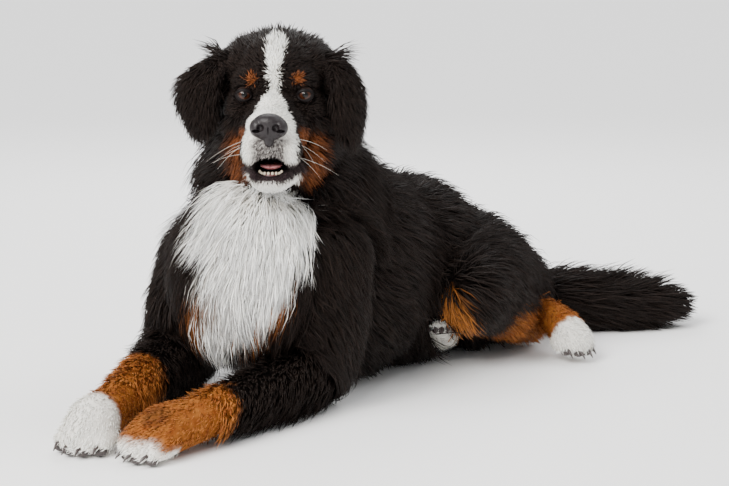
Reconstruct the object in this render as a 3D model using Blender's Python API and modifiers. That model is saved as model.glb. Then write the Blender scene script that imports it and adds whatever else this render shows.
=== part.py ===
# Bernese mountain dog lying on the floor, life size: metres, +Z up, the dog faces -Y, its left is +X.
import math

import bmesh
import bpy
from mathutils import Matrix, Vector

GAP = 0.0004             # space kept between pieces that meet
BODY_VOXEL = 0.009
HEAD_VOXEL = 0.0030
BODY_TRIANGLES = 4200
HEAD_TRIANGLES = 2600
CUT_MARGIN = 0.012       # how far a limb's cut runs outside its coat

# Trunk: centre, half axes, turn about Z in degrees, depth of the coat
TRUNK = {
    "breast": ((0.030, -0.070, 0.212), (0.100, 0.092, 0.130), 20, 0.042),
    "shoulders": ((0.000, 0.040, 0.200), (0.128, 0.135, 0.160), 0, 0.034),
    "ribs": ((0.000, 0.170, 0.180), (0.135, 0.165, 0.162), 0, 0.034),
    "loin": ((0.008, 0.325, 0.154), (0.120, 0.165, 0.144), 0, 0.034),
    "pelvis": ((0.040, 0.450, 0.122), (0.112, 0.125, 0.104), 0, 0.030),
    "rump": ((0.062, 0.545, 0.092), (0.085, 0.080, 0.072), 0, 0.034),
}

# Limbs, neck and tail: depth of the coat, then points x, y, z and radius along the bones
LIMBS = {
    "neck": (0.040, ((0.000, 0.060, 0.270, 0.118), (0.010, 0.025, 0.350, 0.106), (0.018, 0.002, 0.420, 0.090))),
    "tail": (0.042, ((0.066, 0.585, 0.070, 0.034), (0.105, 0.665, 0.058, 0.029), (0.165, 0.730, 0.052, 0.024),
                     (0.222, 0.788, 0.046, 0.017), (0.264, 0.834, 0.040, 0.006))),
    "leftUpperArm": (0.020, ((0.104, 0.000, 0.230, 0.066), (0.108, 0.000, 0.130, 0.054), (0.102, 0.000, 0.064, 0.043))),
    "leftForearm": (0.014, ((0.102, -0.005, 0.060, 0.042), (0.108, -0.120, 0.054, 0.036), (0.110, -0.245, 0.047, 0.032))),
    "leftForepaw": (0.006, ((0.110, -0.258, 0.044, 0.031), (0.096, -0.338, 0.036, 0.037), (0.086, -0.378, 0.028, 0.030))),
    "rightUpperArm": (0.022, ((-0.088, -0.045, 0.215, 0.062), (-0.112, -0.062, 0.130, 0.054),
                              (-0.146, -0.040, 0.066, 0.046))),
    "rightForearm": (0.014, ((-0.146, -0.040, 0.062, 0.046), (-0.102, -0.150, 0.056, 0.038), (-0.052, -0.262, 0.048, 0.033))),
    "rightForepaw": (0.006, ((-0.046, -0.274, 0.044, 0.031), (-0.014, -0.364, 0.036, 0.037), (0.000, -0.406, 0.027, 0.030))),
    "leftThigh": (0.026, ((0.085, 0.485, 0.122, 0.076), (0.130, 0.395, 0.132, 0.066), (0.160, 0.320, 0.136, 0.050))),
    "leftShin": (0.014, ((0.165, 0.322, 0.125, 0.045), (0.160, 0.430, 0.080, 0.036), (0.137, 0.530, 0.044, 0.027))),
    "leftHindFoot": (0.006, ((0.140, 0.540, 0.042, 0.025), (0.188, 0.524, 0.066, 0.025), (0.235, 0.502, 0.052, 0.030),
                             (0.272, 0.488, 0.034, 0.031))),
    "rightThigh": (0.026, ((-0.030, 0.480, 0.095, 0.080), (-0.050, 0.350, 0.065, 0.056))),
    "rightShin": (0.012, ((-0.050, 0.345, 0.055, 0.044), (-0.028, 0.500, 0.036, 0.028))),
    "rightHindFoot": (0.006, ((-0.010, 0.510, 0.032, 0.025), (0.036, 0.455, 0.042, 0.026), (0.062, 0.405, 0.048, 0.030))),
}

# Head axes: forward, left and up from the point midway between the eyes
EYES_MIDDLE = Vector((0.089, -0.083, 0.486))
HEAD_YAW = math.radians(37)
HEAD_PITCH = math.radians(4)
HEAD_COAT = 0.008

# Head masses: centre and half axes, forward, left, up
HEAD = {
    "skull": ((-0.078, 0, 0.018), (0.088, 0.078, 0.070)),
    "nape": ((-0.120, 0, -0.020), (0.070, 0.080, 0.075)),
    "face": ((-0.046, 0, -0.026), (0.062, 0.068, 0.062)),
    "forehead": ((-0.030, 0, 0.026), (0.040, 0.052, 0.036)),
    "bridge": ((0.020, 0, -0.020), (0.050, 0.028, 0.024)),
    "muzzleBase": ((0.026, 0, -0.050), (0.048, 0.046, 0.042)),
    "muzzleTop": ((0.068, 0, -0.046), (0.060, 0.036, 0.028)),
    "muzzle": ((0.072, 0, -0.064), (0.050, 0.039, 0.034)),
    "throat": ((-0.060, 0, -0.100), (0.070, 0.056, 0.050)),
}
HEAD_PAIRS = {
    "brow": ((-0.018, 0.034, 0.020), (0.028, 0.028, 0.020)),
    "temple": ((-0.070, 0.052, 0.036), (0.050, 0.036, 0.038)),
    "cheekbone": ((-0.044, 0.052, -0.026), (0.050, 0.026, 0.038)),
    "jawMuscle": ((-0.060, 0.044, -0.066), (0.052, 0.034, 0.050)),
    "flew": ((0.076, 0.025, -0.076), (0.044, 0.018, 0.026)),
}
JAW = {
    "chin": ((0.076, 0, -0.117), (0.034, 0.028, 0.017)),
    "jaw": ((0.020, 0, -0.112), (0.062, 0.040, 0.022)),
}
NECKLINE_POINT = (-0.100, 0, -0.101)
NECKLINE_NORMAL = (0.45, 0, 0.89)
EYE_RADIUS = 0.0125
EYE_SIDE = 0.0445        # each eye's distance from the middle of the head
GUM = ((0.084, 0, -0.1085), (0.013, 0.018, 0.0036))
NOSE_CENTRE = (0.122, 0, -0.042)
NOSE_HALF = (0.017, 0.027, 0.020)
NOSTRIL_CENTRE = (0.138, 0.0135, -0.043)
NOSTRIL_HALF = (0.010, 0.0052, 0.0050)

# Left ear from root to tip, each row from its front edge to its back edge, in head axes
EAR_THICKNESS = 0.009
EAR_COAT = 0.008
LEFT_EAR = (
    ((-0.040, 0.060, 0.050), (-0.058, 0.074, 0.056), (-0.085, 0.080, 0.048)),
    ((-0.020, 0.080, 0.026), (-0.034, 0.106, 0.034), (-0.068, 0.118, 0.026)),
    ((-0.012, 0.086, -0.018), (-0.026, 0.120, -0.014), (-0.062, 0.132, -0.018)),
    ((-0.014, 0.098, -0.056), (-0.024, 0.118, -0.072), (-0.048, 0.126, -0.064)),
)
RIGHT_EAR = (
    ((-0.040, -0.060, 0.048), (-0.060, -0.076, 0.052), (-0.085, -0.080, 0.044)),
    ((-0.016, -0.086, 0.016), (-0.032, -0.118, 0.028), (-0.068, -0.122, 0.020)),
    ((-0.006, -0.094, -0.022), (-0.016, -0.154, -0.002), (-0.058, -0.140, -0.012)),
    ((-0.010, -0.104, -0.050), (-0.020, -0.132, -0.064), (-0.042, -0.126, -0.056)),
)

BLACK = (0.012, 0.010, 0.009)
RUST = (0.35, 0.14, 0.045)
WHITE = (0.80, 0.76, 0.68)
COLOURS = {
    "blackCoat": (BLACK, 0.75),
    "rustCoat": (RUST, 0.75),
    "whiteCoat": (WHITE, 0.75),
    "noseLeather": ((0.045, 0.038, 0.040), 0.45),
    "eyeBrown": ((0.060, 0.022, 0.008), 0.08),
    "tooth": ((0.80, 0.74, 0.60), 0.30),
    "tongue": ((0.55, 0.25, 0.25), 0.40),
}


def head_matrix():
    forward = Vector((math.sin(HEAD_YAW) * math.cos(HEAD_PITCH), -math.cos(HEAD_YAW) * math.cos(HEAD_PITCH),
                      math.sin(HEAD_PITCH)))
    left = Vector((math.cos(HEAD_YAW), math.sin(HEAD_YAW), 0))
    up = forward.cross(left)
    turn = Matrix((forward, left, up)).transposed().to_4x4()
    return Matrix.Translation(EYES_MIDDLE) @ turn


HEAD_AXES = head_matrix()


def clear_scene():
    for thing in list(bpy.data.objects):
        bpy.data.objects.remove(thing, do_unlink=True)


def new_collection(name):
    collection = bpy.data.collections.new(name)
    bpy.context.scene.collection.children.link(collection)
    return collection


clear_scene()
DOG = new_collection("bernese_mountain_dog")
WORK = new_collection("working_pieces")


def new_object(name, mesh, collection=None):
    thing = bpy.data.objects.new(name, mesh)
    (collection or WORK).objects.link(thing)
    return thing


def object_from_bmesh(name, bm):
    mesh = bpy.data.meshes.new(name)
    bm.to_mesh(mesh)
    bm.free()
    return new_object(name, mesh)


def applied(thing):
    depsgraph = bpy.context.evaluated_depsgraph_get()
    mesh = bpy.data.meshes.new_from_object(thing.evaluated_get(depsgraph))
    thing.modifiers.clear()
    thing.data = mesh
    return thing


def removed(things):
    for thing in things:
        bpy.data.objects.remove(thing, do_unlink=True)


def ball(bm, place, half_axes, segments=24):
    one = bmesh.new()
    scale = Matrix.Diagonal((*half_axes, 1))
    bmesh.ops.create_uvsphere(one, u_segments=segments, v_segments=segments // 2, radius=1, matrix=place @ scale)
    mesh = bpy.data.meshes.new("ball")
    one.to_mesh(mesh)
    one.free()
    bm.from_mesh(mesh)
    bpy.data.meshes.remove(mesh)


def limb_balls(bm, points, extra):
    """Balls close together along a limb, so that they read as one tapered tube."""
    for (x0, y0, z0, r0), (x1, y1, z1, r1) in zip(points, points[1:]):
        length = (Vector((x1, y1, z1)) - Vector((x0, y0, z0))).length
        steps = max(2, math.ceil(length / (0.25 * min(r0, r1))))
        for step in range(steps + 1):
            part = step / steps
            place = Vector((x0, y0, z0)).lerp(Vector((x1, y1, z1)), part)
            radius = r0 + (r1 - r0) * part + extra
            ball(bm, Matrix.Translation(place), (radius, radius, radius), 16)


def remeshed(thing, voxel, smoothing, triangles):
    remesh = thing.modifiers.new("remesh", "REMESH")
    remesh.mode = "VOXEL"
    remesh.voxel_size = voxel
    smooth = thing.modifiers.new("smooth", "SMOOTH")
    smooth.factor = 0.5
    smooth.iterations = smoothing
    applied(thing)
    thing.data.calc_loop_triangles()
    count = len(thing.data.loop_triangles)
    if count > triangles:
        decimate = thing.modifiers.new("decimate", "DECIMATE")
        decimate.ratio = triangles / count
        decimate.use_collapse_triangulate = True
        applied(thing)
    return thing


def largest_piece(thing):
    """Keeps the largest closed surface of an object."""
    bm = bmesh.new()
    bm.from_mesh(thing.data)
    unseen = set(bm.faces)
    pieces = []
    while unseen:
        piece = [unseen.pop()]
        for face in piece:
            for edge in face.edges:
                for other in edge.link_faces:
                    if other in unseen:
                        unseen.remove(other)
                        piece.append(other)
        pieces.append(piece)
    pieces.sort(key=lambda piece: sum(face.calc_area() for face in piece))
    for piece in pieces[:-1]:
        bmesh.ops.delete(bm, geom=piece, context="FACES")
    bm.to_mesh(thing.data)
    bm.free()
    return thing


def boolean(thing, other, operation):
    cut = thing.modifiers.new("cut", "BOOLEAN")
    cut.object = other
    cut.operation = operation
    cut.solver = "MANIFOLD"
    return largest_piece(applied(thing))


def copied(thing, name):
    return new_object(name, thing.data.copy())


def grown(thing, distance):
    """A copy of an object with its surface moved out."""
    bigger = copied(thing, thing.name + "_grown")
    move = bigger.modifiers.new("grow", "DISPLACE")
    move.strength = distance
    move.mid_level = 0
    return applied(bigger)


def parted(rest, name, cutter):
    """Takes the piece of rest inside cutter as a new object, with a thin gap round it."""
    piece = boolean(copied(rest, name), cutter, "INTERSECT")
    wider = grown(cutter, GAP)
    boolean(rest, wider, "DIFFERENCE")
    removed([cutter, wider])
    return piece


def body_form():
    bm = bmesh.new()
    for centre, half_axes, turn, coat in TRUNK.values():
        place = Matrix.Translation(centre) @ Matrix.Rotation(math.radians(turn), 4, "Z")
        ball(bm, place, [axis + coat for axis in half_axes], 32)
    for coat, points in LIMBS.values():
        limb_balls(bm, points, coat)
    return remeshed(object_from_bmesh("body", bm), BODY_VOXEL, 6, BODY_TRIANGLES)


def limb_cutter(name):
    """The hull of coarse balls round a limb's points, a little outside its coat."""
    balls = bmesh.new()
    coat, points = LIMBS[name]
    for x, y, z, radius in points:
        reach = radius + coat + CUT_MARGIN
        ball(balls, Matrix.Translation((x, y, z)), (reach, reach, reach), 8)
    bm = bmesh.new()
    for vertex in balls.verts:
        bm.verts.new(vertex.co)
    balls.free()
    bmesh.ops.convex_hull(bm, input=bm.verts)
    bmesh.ops.delete(bm, geom=[vertex for vertex in bm.verts if not vertex.link_faces], context="VERTS")
    bmesh.ops.recalc_face_normals(bm, faces=bm.faces)
    return object_from_bmesh(name + "_cutter", bm)


def half_space(point, normal):
    """A large block that fills the space on the side of a plane that its normal points to."""
    bm = bmesh.new()
    bmesh.ops.create_cube(bm, size=2)
    turn = Vector(normal).to_track_quat("Z", "Y").to_matrix().to_4x4()
    bm.transform(Matrix.Translation(point) @ turn @ Matrix.Translation((0, 0, 1)))
    return object_from_bmesh("plane_cutter", bm)


def head_ball(bm, centre, half_axes, extra=0.0, segments=24):
    ball(bm, HEAD_AXES @ Matrix.Translation(centre), [axis + extra for axis in half_axes], segments)


def mirrored(centre, side):
    return (centre[0], centre[1] * side, centre[2])


def head_form():
    bm = bmesh.new()
    for centre, half_axes in HEAD.values():
        head_ball(bm, centre, half_axes, HEAD_COAT)
    for centre, half_axes in HEAD_PAIRS.values():
        for side in (1, -1):
            head_ball(bm, mirrored(centre, side), half_axes, HEAD_COAT)
    return remeshed(object_from_bmesh("head", bm), HEAD_VOXEL, 40, HEAD_TRIANGLES)


def jaw_form():
    bm = bmesh.new()
    for centre, half_axes in JAW.values():
        head_ball(bm, centre, half_axes, 0.002)
    return remeshed(object_from_bmesh("lowerJaw", bm), HEAD_VOXEL, 4, 420)


def single_ball(name, centre, half_axes, segments=16):
    bm = bmesh.new()
    head_ball(bm, centre, half_axes, 0, segments)
    return object_from_bmesh(name, bm)


def lid_ring(side):
    """A ring of eyelid that lies on the eyeball, a little wider than high."""
    bpy.ops.mesh.primitive_torus_add(major_segments=14, minor_segments=4, major_radius=0.0114, minor_radius=0.0026)
    ring = bpy.context.object
    turn = Matrix.Rotation(math.radians(90), 4, "Y") @ Matrix.Diagonal((0.82, 1.0, 1.0, 1))
    ring.data.transform(HEAD_AXES @ Matrix.Translation((0.0070, side * EYE_SIDE, 0)) @ turn)
    return ring


def ear_form(name, rows):
    """A hanging leaf from a coarse cage, thick enough for its short coat, hollow on its inner side."""
    bm = bmesh.new()
    bmesh.ops.create_grid(bm, x_segments=2, y_segments=3, size=1)
    for vertex in bm.verts:
        row = round((vertex.co.y + 1) * 1.5)
        column = round(vertex.co.x + 1)
        vertex.co = HEAD_AXES @ Vector(rows[row][column])
    thing = object_from_bmesh(name, bm)
    thick = thing.modifiers.new("thick", "SOLIDIFY")
    thick.thickness = EAR_THICKNESS + 2 * EAR_COAT
    thick.offset = 0
    soft = thing.modifiers.new("soft", "SUBSURF")
    soft.levels = 2
    soft.render_levels = 2
    applied(thing)
    fewer = thing.modifiers.new("fewer", "DECIMATE")
    fewer.ratio = 0.5
    applied(thing)
    bm = bmesh.new()
    bm.from_mesh(thing.data)
    bmesh.ops.recalc_face_normals(bm, faces=bm.faces)
    bm.to_mesh(thing.data)
    bm.free()
    return thing


def tooth_row():
    """The low front teeth in an arch, fused with the gum that carries them."""
    teeth = [single_ball("lowerTeeth", *GUM, 12)]
    for number in range(7):
        angle = math.radians(-66 + 22 * number)
        bm = bmesh.new()
        centre = (0.083 + 0.0100 * math.cos(angle), 0.0150 * math.sin(angle), -0.1024)
        head_ball(bm, centre, (0.0022, 0.0024, 0.0040), 0, 6)
        teeth.append(object_from_bmesh("tooth", bm))
    for tooth in teeth[1:]:
        boolean(teeth[0], tooth, "UNION")
    removed(teeth[1:])
    return teeth[0]


def make_materials():
    made = {}
    for name, (colour, roughness) in COLOURS.items():
        material = bpy.data.materials.new(name)
        material.use_nodes = True
        shader = material.node_tree.nodes["Principled BSDF"]
        shader.inputs["Base Color"].default_value = (*colour, 1)
        shader.inputs["Roughness"].default_value = roughness
        made[name] = material
    return made


def finish(thing, material):
    thing.data.materials.clear()
    thing.data.materials.append(material)
    for polygon in thing.data.polygons:
        polygon.use_smooth = True
    thing.data.set_sharp_from_angle(angle=math.radians(50))
    WORK.objects.unlink(thing)
    DOG.objects.link(thing)


def make_head(nodes, body):
    """Fuses the head with the body, parts the two along one plane behind the jaw, and adds the face."""
    form = head_form()
    boolean(body, form, "UNION")
    removed([form])
    point = HEAD_AXES @ Vector(NECKLINE_POINT)
    normal = HEAD_AXES.to_3x3() @ Vector(NECKLINE_NORMAL)
    head = parted(body, "head", half_space(point, normal))
    for side, name in ((1, "leftEye"), (-1, "rightEye")):
        ring = lid_ring(side)
        boolean(head, ring, "UNION")
        removed([ring])
        eye = single_ball(name, (0, side * EYE_SIDE, 0), (EYE_RADIUS,) * 3, 14)
        socket = grown(eye, GAP)
        boolean(head, socket, "DIFFERENCE")
        removed([socket])
        nodes[name] = (eye, "eyeBrown")
    nose = single_ball("nose", NOSE_CENTRE, NOSE_HALF, 16)
    seat = grown(nose, GAP)
    for side in (1, -1):
        nostril = single_ball("nostril", mirrored(NOSTRIL_CENTRE, side), NOSTRIL_HALF, 8)
        boolean(nose, nostril, "DIFFERENCE")
        removed([nostril])
    mouth = single_ball("mouth", (0.085, 0, -0.097), (0.050, 0.022, 0.013), 12)
    jaw = jaw_form()
    slot = grown(jaw, 0.0025)
    tongue = single_ball("tongue", (0.056, 0, -0.0985), (0.036, 0.0125, 0.0056), 12)
    teeth = tooth_row()
    boolean(head, mouth, "DIFFERENCE")
    boolean(jaw, mouth, "DIFFERENCE")
    boolean(head, seat, "DIFFERENCE")
    boolean(head, slot, "DIFFERENCE")
    boolean(body, slot, "DIFFERENCE")
    gum = single_ball("gum", *GUM, 12)
    mouth_floor = grown(gum, GAP + 0.0002)
    boolean(jaw, mouth_floor, "DIFFERENCE")
    clearance = grown(tongue, GAP)
    for other in (head, jaw, teeth):
        boolean(other, clearance, "DIFFERENCE")
    removed([clearance])
    removed([mouth, seat, slot, gum, mouth_floor])
    nodes["head"] = (head, "blackCoat")
    nodes["lowerJaw"] = (jaw, "whiteCoat")
    nodes["nose"] = (nose, "noseLeather")
    nodes["tongue"] = (tongue, "tongue")
    nodes["lowerTeeth"] = (teeth, "tooth")
    for name, rows in (("leftEar", LEFT_EAR), ("rightEar", RIGHT_EAR)):
        ear = ear_form(name, rows)
        root = grown(head, GAP)
        boolean(ear, root, "DIFFERENCE")
        removed([root])
        nodes[name] = (ear, "blackCoat")


def make_body(nodes, body):
    limbs = (("leftForepaw", "whiteCoat"), ("leftForearm", "rustCoat"), ("leftUpperArm", "blackCoat"),
             ("rightForepaw", "whiteCoat"), ("rightForearm", "rustCoat"), ("rightUpperArm", "blackCoat"),
             ("leftHindFoot", "whiteCoat"), ("leftShin", "rustCoat"), ("rightHindFoot", "whiteCoat"),
             ("rightShin", "rustCoat"), ("leftThigh", "blackCoat"), ("rightThigh", "blackCoat"),
             ("tail", "blackCoat"))
    for name, material in limbs:
        nodes[name] = (parted(body, name, limb_cutter(name)), material)
    planes = (("neck", (0.015, 0.010, 0.335), (0.10, -0.38, 0.92), "blackCoat"),
              ("rump", (0.030, 0.430, 0.150), (0.10, 0.99, 0.0), "blackCoat"),
              ("loin", (0.000, 0.265, 0.150), (0.0, 1.0, 0.0), "blackCoat"),
              ("ribs", (0.000, 0.085, 0.150), (0.0, 1.0, 0.0), "blackCoat"))
    for name, point, normal, material in planes:
        nodes[name] = (parted(body, name, half_space(point, normal)), material)
    nodes["chest"] = (body, "whiteCoat")
    body.name = "chest"


def centred(things):
    """Moves the dog so that its box stands on the origin with its middle."""
    corners = [vertex.co for thing in things for vertex in thing.data.vertices]
    low = [min(corner[axis] for corner in corners) for axis in range(3)]
    high = [max(corner[axis] for corner in corners) for axis in range(3)]
    shift = Matrix.Translation((-(low[0] + high[0]) / 2, -(low[1] + high[1]) / 2, -low[2]))
    for thing in things:
        thing.data.transform(shift)


def main():
    nodes = {}
    body = body_form()
    floor = half_space((0, 0, 0), (0, 0, -1))
    boolean(body, floor, "DIFFERENCE")
    removed([floor])
    make_head(nodes, body)
    make_body(nodes, body)
    for name in ("leftEar", "rightEar"):
        for other in ("neck", "chest", "ribs", "leftUpperArm", "rightUpperArm"):
            clearance = grown(nodes[other][0], GAP)
            boolean(nodes[name][0], clearance, "DIFFERENCE")
            removed([clearance])
    materials = make_materials()
    for name, (thing, material) in nodes.items():
        thing.name = name
        finish(thing, materials[material])
    centred([thing for thing, material in nodes.values()])
    bpy.data.collections.remove(WORK)


main()
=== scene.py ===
import math

import bmesh
import bpy
import numpy as np
from mathutils import Matrix, Vector
from mathutils.bvhtree import BVHTree


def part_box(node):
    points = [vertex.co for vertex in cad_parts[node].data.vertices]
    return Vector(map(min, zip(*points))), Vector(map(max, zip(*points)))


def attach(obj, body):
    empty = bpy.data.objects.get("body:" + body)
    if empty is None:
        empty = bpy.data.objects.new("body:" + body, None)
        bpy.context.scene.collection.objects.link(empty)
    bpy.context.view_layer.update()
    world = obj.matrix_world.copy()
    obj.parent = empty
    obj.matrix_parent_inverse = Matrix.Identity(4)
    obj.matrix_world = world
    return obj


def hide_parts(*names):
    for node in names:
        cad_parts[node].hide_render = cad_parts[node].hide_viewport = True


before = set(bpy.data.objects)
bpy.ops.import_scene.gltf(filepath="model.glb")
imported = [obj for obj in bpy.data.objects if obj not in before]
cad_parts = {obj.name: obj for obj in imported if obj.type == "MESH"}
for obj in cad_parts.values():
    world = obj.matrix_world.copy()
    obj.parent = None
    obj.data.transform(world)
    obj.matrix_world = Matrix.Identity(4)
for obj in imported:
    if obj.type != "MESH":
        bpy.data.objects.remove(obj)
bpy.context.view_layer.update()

# Trunk without its coat: centre, half axes, turn about Z in degrees
trunk = {
    "breast": ((0.030, -0.070, 0.212), (0.100, 0.092, 0.130), 20),
    "shoulders": ((0.000, 0.040, 0.200), (0.128, 0.135, 0.160), 0),
    "ribs": ((0.000, 0.170, 0.180), (0.135, 0.165, 0.162), 0),
    "loin": ((0.008, 0.325, 0.154), (0.120, 0.165, 0.144), 0),
    "pelvis": ((0.040, 0.450, 0.122), (0.112, 0.125, 0.104), 0),
    "rump": ((0.062, 0.545, 0.092), (0.085, 0.080, 0.072), 0),
}

# Limbs, neck and tail without their coat: points x, y, z and radius along the bones
limbs = {
    "neck": ((0.000, 0.060, 0.270, 0.118), (0.010, 0.025, 0.350, 0.106), (0.018, 0.002, 0.420, 0.090)),
    "tail": ((0.066, 0.585, 0.070, 0.034), (0.105, 0.665, 0.058, 0.029), (0.165, 0.730, 0.052, 0.024),
             (0.222, 0.788, 0.048, 0.018), (0.266, 0.842, 0.044, 0.008)),
    "leftUpperArm": ((0.104, 0.000, 0.230, 0.066), (0.108, 0.000, 0.130, 0.054),
                     (0.102, 0.000, 0.064, 0.043)),
    "leftForearm": ((0.102, -0.005, 0.060, 0.042), (0.108, -0.120, 0.054, 0.036),
                    (0.110, -0.245, 0.047, 0.032)),
    "leftForepaw": ((0.110, -0.258, 0.044, 0.031), (0.096, -0.338, 0.036, 0.037),
                    (0.086, -0.372, 0.026, 0.026)),
    "rightUpperArm": ((-0.088, -0.045, 0.215, 0.062), (-0.112, -0.062, 0.130, 0.054),
                      (-0.146, -0.040, 0.066, 0.046)),
    "rightForearm": ((-0.146, -0.040, 0.062, 0.046), (-0.102, -0.150, 0.056, 0.038),
                     (-0.052, -0.262, 0.048, 0.033)),
    "rightForepaw": ((-0.046, -0.274, 0.044, 0.031), (-0.014, -0.364, 0.036, 0.037),
                     (0.000, -0.400, 0.025, 0.026)),
    "leftThigh": ((0.085, 0.485, 0.122, 0.076), (0.130, 0.395, 0.132, 0.066), (0.160, 0.320, 0.136, 0.050)),
    "leftShin": ((0.165, 0.322, 0.125, 0.045), (0.160, 0.430, 0.080, 0.036), (0.137, 0.530, 0.044, 0.027)),
    "leftHindFoot": ((0.140, 0.540, 0.042, 0.025), (0.188, 0.524, 0.066, 0.025), (0.235, 0.502, 0.052, 0.030),
                     (0.268, 0.490, 0.034, 0.027)),
    "rightThigh": ((-0.030, 0.480, 0.095, 0.080), (-0.050, 0.350, 0.065, 0.056)),
    "rightShin": ((-0.050, 0.345, 0.055, 0.044), (-0.028, 0.500, 0.036, 0.028)),
    "rightHindFoot": ((-0.010, 0.510, 0.032, 0.025), (0.036, 0.440, 0.042, 0.026),
                      (0.106, 0.325, 0.052, 0.022), (0.120, 0.294, 0.070, 0.018)),
}

# Toes of each paw: middle of the row, direction, spread, radius of a toe
paws = {
    "leftForepaw": ((0.086, -0.378, 0.019), (-0.22, -1.0, 0.0), 0.0205, 0.0165),
    "rightForepaw": ((0.001, -0.406, 0.019), (0.30, -1.0, 0.0), 0.0205, 0.0165),
    "leftHindFoot": ((0.276, 0.484, 0.026), (1.0, -0.35, -0.15), 0.0170, 0.0140),
    "rightHindFoot": ((0.133, 0.270, 0.082), (0.62, -0.78, 0.1), 0.0100, 0.0090),
}
toeRow = ((-1.5, 0.012, 0.88), (-0.5, 0.0, 1.0), (0.5, 0.0, 1.0), (1.5, 0.012, 0.88))  # place, set back, size

head = {
    "eyesMiddle": (0.089, -0.083, 0.486),
    "yaw": math.radians(37),
    "pitch": math.radians(4),
    "eyeSide": 0.0445,
    "eyeRadius": 0.0125,
    "irisRadius": 0.0086,
    "pupilRadius": 0.0042,
    "lidWidth": 0.0100,
    "lidHeight": 0.0074,
}

# Head masses in head axes: centre and half axes, forward, left, up
headBalls = {
    "skull": ((-0.078, 0, 0.018), (0.088, 0.078, 0.070)),
    "nape": ((-0.120, 0, -0.020), (0.070, 0.080, 0.075)),
    "face": ((-0.046, 0, -0.026), (0.062, 0.068, 0.062)),
    "forehead": ((-0.030, 0, 0.026), (0.040, 0.052, 0.036)),
    "bridge": ((0.020, 0, -0.020), (0.050, 0.028, 0.024)),
    "muzzleBase": ((0.026, 0, -0.050), (0.048, 0.046, 0.042)),
    "muzzleTop": ((0.068, 0, -0.046), (0.060, 0.036, 0.028)),
    "muzzle": ((0.072, 0, -0.064), (0.050, 0.039, 0.034)),
    "throat": ((-0.060, 0, -0.100), (0.070, 0.056, 0.050)),
    "chin": ((0.074, 0, -0.120), (0.034, 0.028, 0.016)),
    "jaw": ((0.020, 0, -0.112), (0.062, 0.040, 0.022)),
}
headPairs = {
    "brow": ((-0.018, 0.034, 0.020), (0.028, 0.028, 0.020)),
    "temple": ((-0.070, 0.052, 0.036), (0.050, 0.036, 0.038)),
    "cheekbone": ((-0.044, 0.052, -0.026), (0.050, 0.026, 0.038)),
    "jawMuscle": ((-0.060, 0.044, -0.066), (0.052, 0.034, 0.050)),
    "flew": ((0.076, 0.025, -0.076), (0.044, 0.018, 0.026)),
    "lowerLip": ((0.078, 0.022, -0.113), (0.034, 0.007, 0.008)),
}
mouthHole = ((0.096, 0, -0.0985), (0.052, 0.0225, 0.0140))
neckline = ((-0.100, 0, -0.101), (0.45, 0, 0.89))

# Ears from root to tip, each row from its front edge to its back edge, in head axes
ears = {
    "thickness": 0.008,
    "left": (
        ((-0.040, 0.052, 0.062), (-0.058, 0.072, 0.066), (-0.085, 0.080, 0.054)),
        ((-0.018, 0.072, 0.034), (-0.034, 0.108, 0.046), (-0.068, 0.114, 0.032)),
        ((-0.010, 0.078, -0.014), (-0.026, 0.124, 0.000), (-0.062, 0.128, -0.012)),
        ((-0.016, 0.088, -0.060), (-0.024, 0.118, -0.080), (-0.048, 0.116, -0.062)),
    ),
    "right": (
        ((-0.040, -0.052, 0.062), (-0.060, -0.074, 0.068), (-0.085, -0.080, 0.052)),
        ((-0.016, -0.074, 0.030), (-0.030, -0.120, 0.048), (-0.068, -0.116, 0.032)),
        ((-0.008, -0.078, -0.020), (-0.014, -0.171, 0.012), (-0.058, -0.140, 0.002)),
        ((-0.014, -0.088, -0.052), (-0.020, -0.118, -0.064), (-0.042, -0.116, -0.052)),
    ),
}

# Skin: voxels, smoothing, least height over the floor, tone beside the hair's
skin = {"bodyVoxel": 0.0065, "bodySmoothing": 10, "headVoxel": 0.0024, "headSmoothing": 14, "floor": 0.0010,
        "tone": 0.75}

# Coat of each region: how many tufts, their length and width, how high the tips stand over the skin, and
# how far they gather in locks
coatFacts = ("count", "length", "width", "depth", "gather")
coat = {
    "head": (13500, 0.014, 0.0014, 0.0060, 0.25),
    "cheeks": (9000, 0.036, 0.0017, 0.0190, 0.45),
    "muzzle": (8000, 0.0070, 0.0011, 0.0020, 0.0),
    "ears": (7500, 0.026, 0.0016, 0.0085, 0.3),
    "ruff": (11000, 0.060, 0.0024, 0.050, 0.55),
    "chest": (12000, 0.080, 0.0017, 0.038, 0.6),
    "trunk": (17500, 0.066, 0.0028, 0.034, 0.6),
    "tail": (6500, 0.088, 0.0024, 0.052, 0.55),
    "upperArms": (6500, 0.052, 0.0026, 0.024, 0.55),
    "forearms": (7500, 0.026, 0.0020, 0.012, 0.45),
    "thighs": (6500, 0.052, 0.0027, 0.026, 0.55),
    "shins": (4000, 0.030, 0.0021, 0.013, 0.45),
    "paws": (6500, 0.011, 0.0013, 0.0045, 0.2),
}
longCoats = ("ruff", "chest", "trunk", "tail", "upperArms", "thighs")
mostTufts = {"long": 12000, "short": 19000}        # tufts in one piece of coat
rootsTried = {"count": 900000, "seed": 11}         # places on the whole skin where a tuft may stand

# Tufts: how deep they root, size of a lock of long and of short hair, how far they wave and sag, share of
# stray hairs and how much higher they stand, least height over the floor, widths from root to tip
tuft = {"root": 0.0012, "longLock": 0.016, "shortLock": 0.007, "wave": 0.07, "sag": 0.08, "strays": 0.14,
        "longStray": 0.45, "shortStray": 0.8, "floor": 0.0015, "widths": (0.8, 1.0, 0.72)}

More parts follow.
